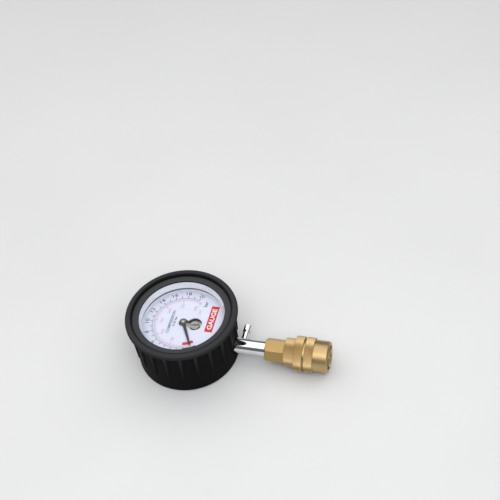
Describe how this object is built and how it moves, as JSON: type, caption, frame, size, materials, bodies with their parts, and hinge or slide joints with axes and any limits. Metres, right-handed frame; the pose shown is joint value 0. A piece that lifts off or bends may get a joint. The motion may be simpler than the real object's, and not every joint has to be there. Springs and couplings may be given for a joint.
{
  "type": "compression tester gauge",
  "caption": "Dial pressure gauge in a ribbed rubber boot with a plated stem, a push-button release valve and a brass ball-lock quick coupler.",
  "frame": {"origin": "centre of the boot's flat back face", "axes": "+Z out of the dial, +X along the stem towards the coupler, +Y to the side where the release valve points"},
  "size_m": [0.1451, 0.08, 0.0439],
  "materials": {
    "boot_rubber": "moulded, slight sheen",
    "case_steel": "black enamel",
    "bezel_steel": "satin bright",
    "lens_clear": "clear",
    "ring_white": "white",
    "dial_white": "cool white, printed",
    "pointer_black": "matt black",
    "movement_brass": "stamped",
    "movement_steel": "turned",
    "spring_steel": "drawn wire",
    "stem_chrome": "polished plate",
    "coupler_brass": "turned and knurled",
    "ball_steel": "ground",
    "seal_rubber": "moulded"
  },
  "bodies": {
    "gauge": {"boot": "boot_rubber", "case_cup": "case_steel", "bezel_ring": "bezel_steel", "lens": "lens_clear", "dial_ring": "ring_white", "dial_plate": "dial_white", "hairspring": "spring_steel", "hairspring_stud": "movement_brass", "base_plate": "movement_brass", "top_plate": "movement_brass", "pillar_posts": "movement_brass", "movement_screws": "movement_steel", "bourdon_tube": "movement_brass", "socket_block": "movement_brass", "case_screws": "movement_steel", "stem": "stem_chrome", "valve_body": "stem_chrome", "valve_spring": "spring_steel", "coupler_tail": "coupler_brass", "coupler_body": "coupler_brass", "sleeve_spring": "spring_steel", "snap_ring": "spring_steel", "nipple_seal": "seal_rubber", "poppet_spring": "spring_steel"},
    "pointer_set": {"pointer": "pointer_black", "pointer_hub": "movement_brass", "pinion_shaft": "movement_steel"},
    "sector_set": {"sector_gear": "movement_brass", "sector_shaft": "movement_steel"},
    "link_set": {"link": "movement_steel", "link_pins": "movement_steel", "tip_block": "movement_brass"},
    "valve_plunger": {"valve_pin": "stem_chrome", "valve_button": "stem_chrome", "valve_seal": "seal_rubber"},
    "sleeve": {"coupler_sleeve": "coupler_brass"},
    "check_poppet": {"poppet": "coupler_brass", "poppet_seal": "seal_rubber"},
    "ball_1": {"lock_ball_1": "ball_steel"},
    "ball_2": {"lock_ball_2": "ball_steel"},
    "ball_3": {"lock_ball_3": "ball_steel"},
    "ball_4": {"lock_ball_4": "ball_steel"}
  },
  "joints": [
    {"name": "pointer_spin", "type": "hinge", "parent": "gauge", "child": "pointer_set", "pos_m": [0, 0, 0.0328], "axis": [0, 0, -1], "range_deg": [0, 236], "stiffness_Nm_per_rad": 0.0002, "deforming": ["hairspring"]},
    {"name": "sector_swing", "type": "hinge", "parent": "gauge", "child": "sector_set", "pos_m": [0.0168, 0, 0.0231], "axis": [0, 0, 1], "range_deg": [0, 39.34]},
    {"name": "link_swing", "type": "hinge", "parent": "sector_set", "child": "link_set", "pos_m": [0.02254, 0.00175, 0.024], "axis": [0, 0, 1], "range_deg": [-39.34, 0], "deforming": ["bourdon_tube"]},
    {"name": "valve_press", "type": "slide", "parent": "gauge", "child": "valve_plunger", "axis": [0, -1, 0], "range_m": [0, 0.0012], "stiffness_N_per_m": 600, "deforming": ["valve_spring"]},
    {"name": "sleeve_slide", "type": "slide", "parent": "gauge", "child": "sleeve", "axis": [-1, 0, 0], "range_m": [0, 0.004], "stiffness_N_per_m": 1200, "deforming": ["sleeve_spring"]},
    {"name": "poppet_slide", "type": "slide", "parent": "gauge", "child": "check_poppet", "axis": [-1, 0, 0], "range_m": [0, 0.0025], "stiffness_N_per_m": 250, "deforming": ["poppet_spring"]},
    {"name": "ball_1_lift", "type": "slide", "parent": "gauge", "child": "ball_1", "axis": [0, 0, -1], "range_m": [0, 0.0006]},
    {"name": "ball_2_lift", "type": "slide", "parent": "gauge", "child": "ball_2", "axis": [0, 1, 0], "range_m": [0, 0.0006]},
    {"name": "ball_3_lift", "type": "slide", "parent": "gauge", "child": "ball_3", "axis": [0, 0, 1], "range_m": [0, 0.0006]},
    {"name": "ball_4_lift", "type": "slide", "parent": "gauge", "child": "ball_4", "axis": [0, -1, 0], "range_m": [0, 0.0006]}
  ],
  "couplings": [
    {"joint": "sector_swing", "follows": "pointer_spin", "ratio": 0.16667},
    {"joint": "link_swing", "follows": "pointer_spin", "ratio": -0.16667},
    {"joint": "ball_1_lift", "follows": "sleeve_slide", "ratio": 0.15},
    {"joint": "ball_2_lift", "follows": "sleeve_slide", "ratio": 0.15},
    {"joint": "ball_3_lift", "follows": "sleeve_slide", "ratio": 0.15},
    {"joint": "ball_4_lift", "follows": "sleeve_slide", "ratio": 0.15}
  ]
}
